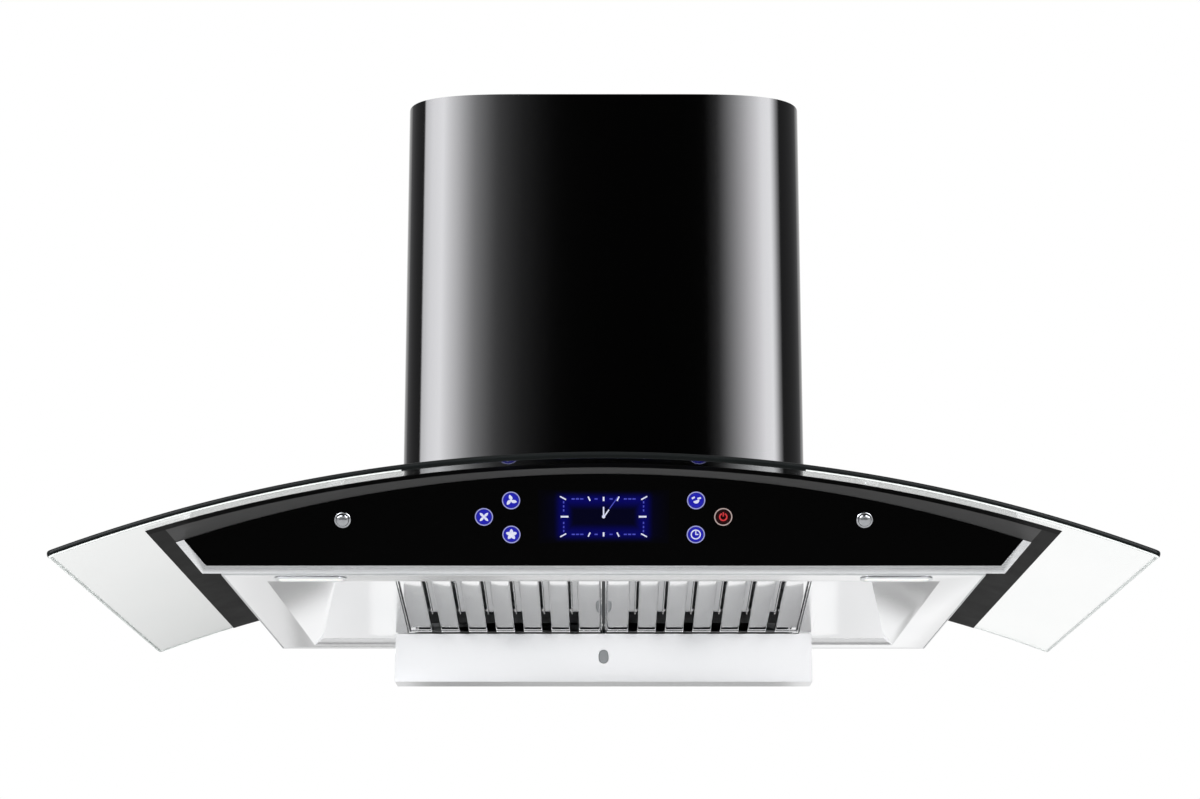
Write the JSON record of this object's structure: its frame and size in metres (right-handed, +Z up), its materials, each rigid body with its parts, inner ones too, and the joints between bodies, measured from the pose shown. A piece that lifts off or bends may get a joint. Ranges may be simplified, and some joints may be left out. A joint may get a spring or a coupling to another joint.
{
  "type": "curved glass range hood",
  "caption": "Wall chimney range hood with a curved glass visor, leaning touch panel, sloping baffle filters, grease tray and blower.",
  "frame": {"origin": "centre of the wall bracket's back face, on the wall", "axes": "+Y points into the wall, -Y out to the cook, +Z up, +X to the viewer's right"},
  "size_m": [0.9, 0.48, 0.517],
  "materials": {
    "canopy_steel": "brushed stainless steel, hidden outer walls",
    "polished_steel": "polished stainless steel, fine grain",
    "trim_steel": "satin stainless steel",
    "zinc_steel": "galvanised steel",
    "chrome_cap": "bright chrome screw caps",
    "black_glass": "black printed tempered glass, opaque gloss",
    "display": "lit blue display behind the black glass",
    "circuit_board": "printed circuit board",
    "black_plastic": "moulded black plastic",
    "grey_plastic": "moulded grey plastic",
    "white_plastic": "moulded white plastic",
    "rubber": "black rubber gasket",
    "lamp_lens": "frosted lamp lens, unlit",
    "clear_glass": "clear tempered glass, 5.5 mm",
    "black_chimney": "gloss black enamelled steel sheet"
  },
  "bodies": {
    "root": {"canopy_shell": "canopy_steel", "smoke_liner": "polished_steel", "panel_trim_frame": "trim_steel", "control_glass": "black_glass", "display_module": "display", "touch_board_left": "circuit_board", "touch_board_right": "circuit_board", "control_box": "black_plastic", "control_board": "circuit_board", "panel_cap_left": "chrome_cap", "panel_cap_right": "chrome_cap", "lamp_housing_left": "trim_steel", "lamp_housing_right": "trim_steel", "lamp_lens_left": "lamp_lens", "lamp_lens_right": "lamp_lens", "light_driver": "white_plastic", "curved_glass": "clear_glass", "glass_gasket": "rubber", "chimney_cover": "black_chimney", "chimney_wall_bracket": "zinc_steel", "wall_bracket": "zinc_steel", "hanging_rail": "zinc_steel", "blower_box": "zinc_steel", "volute_casing": "zinc_steel", "volute_front_plate": "zinc_steel", "motor": "black_plastic", "motor_bracket": "zinc_steel", "duct_collar": "black_plastic", "flap_pin": "zinc_steel", "junction_box": "black_plastic", "cable_gland": "black_plastic", "capacitor": "white_plastic", "filter_divider": "black_plastic", "tray_runner_left": "trim_steel", "tray_runner_right": "trim_steel", "glass_screw_rear_left": "zinc_steel", "glass_screw_front_left": "zinc_steel", "glass_screw_rear_right": "zinc_steel", "glass_screw_front_right": "zinc_steel"},
    "impeller": {"impeller": "zinc_steel"},
    "left_flap": {"draught_flap_left": "grey_plastic"},
    "right_flap": {"draught_flap_right": "grey_plastic"},
    "left_filter": {"left_filter_frame": "polished_steel", "left_lower_baffles": "polished_steel", "left_upper_baffles": "trim_steel", "left_filter_handle": "trim_steel"},
    "left_latch": {"left_filter_latch": "zinc_steel"},
    "right_filter": {"right_filter_frame": "polished_steel", "right_lower_baffles": "polished_steel", "right_upper_baffles": "trim_steel", "right_filter_handle": "trim_steel"},
    "right_latch": {"right_filter_latch": "zinc_steel"},
    "grease_tray": {"grease_tray": "polished_steel", "tray_window": "grey_plastic"},
    "chimney_extension": {"chimney_extension": "black_chimney"}
  },
  "joints": [
    {"name": "impeller_spin", "type": "hinge", "parent": "root", "child": "impeller", "pos_m": [-0.045, -0.132, -0.055], "axis": [0, 1, 0], "continuous": true},
    {"name": "left_flap_swing", "type": "hinge", "parent": "root", "child": "left_flap", "pos_m": [0.03155, -0.132, 0.1263], "axis": [0, 1, 0], "range_deg": [0, 78]},
    {"name": "right_flap_swing", "type": "hinge", "parent": "root", "child": "right_flap", "pos_m": [0.03155, -0.132, 0.1263], "axis": [0, -1, 0], "range_deg": [0, 78]},
    {"name": "left_filter_swing", "type": "hinge", "parent": "root", "child": "left_filter", "pos_m": [-0.0975, -0.05, -0.27331], "axis": [1, 0, 0], "range_deg": [0, 50]},
    {"name": "left_latch_slide", "type": "slide", "parent": "left_filter", "child": "left_latch", "axis": [0, 0.9874, -0.158], "range_m": [0, 0.005], "stiffness_N_per_m": 300},
    {"name": "right_filter_swing", "type": "hinge", "parent": "root", "child": "right_filter", "pos_m": [0.0975, -0.05, -0.27331], "axis": [1, 0, 0], "range_deg": [0, 50]},
    {"name": "right_latch_slide", "type": "slide", "parent": "right_filter", "child": "right_latch", "axis": [0, 0.9874, -0.158], "range_m": [0, 0.005], "stiffness_N_per_m": 300},
    {"name": "grease_tray_pull", "type": "slide", "parent": "root", "child": "grease_tray", "axis": [0, 1, 0], "range_m": [-0.028, 0]},
    {"name": "chimney_extension_rise", "type": "slide", "parent": "root", "child": "chimney_extension", "axis": [0, 0, 1], "range_m": [0, 0.3]}
  ],
  "couplings": [
    {"joint": "right_flap_swing", "follows": "left_flap_swing", "ratio": 1}
  ]
}
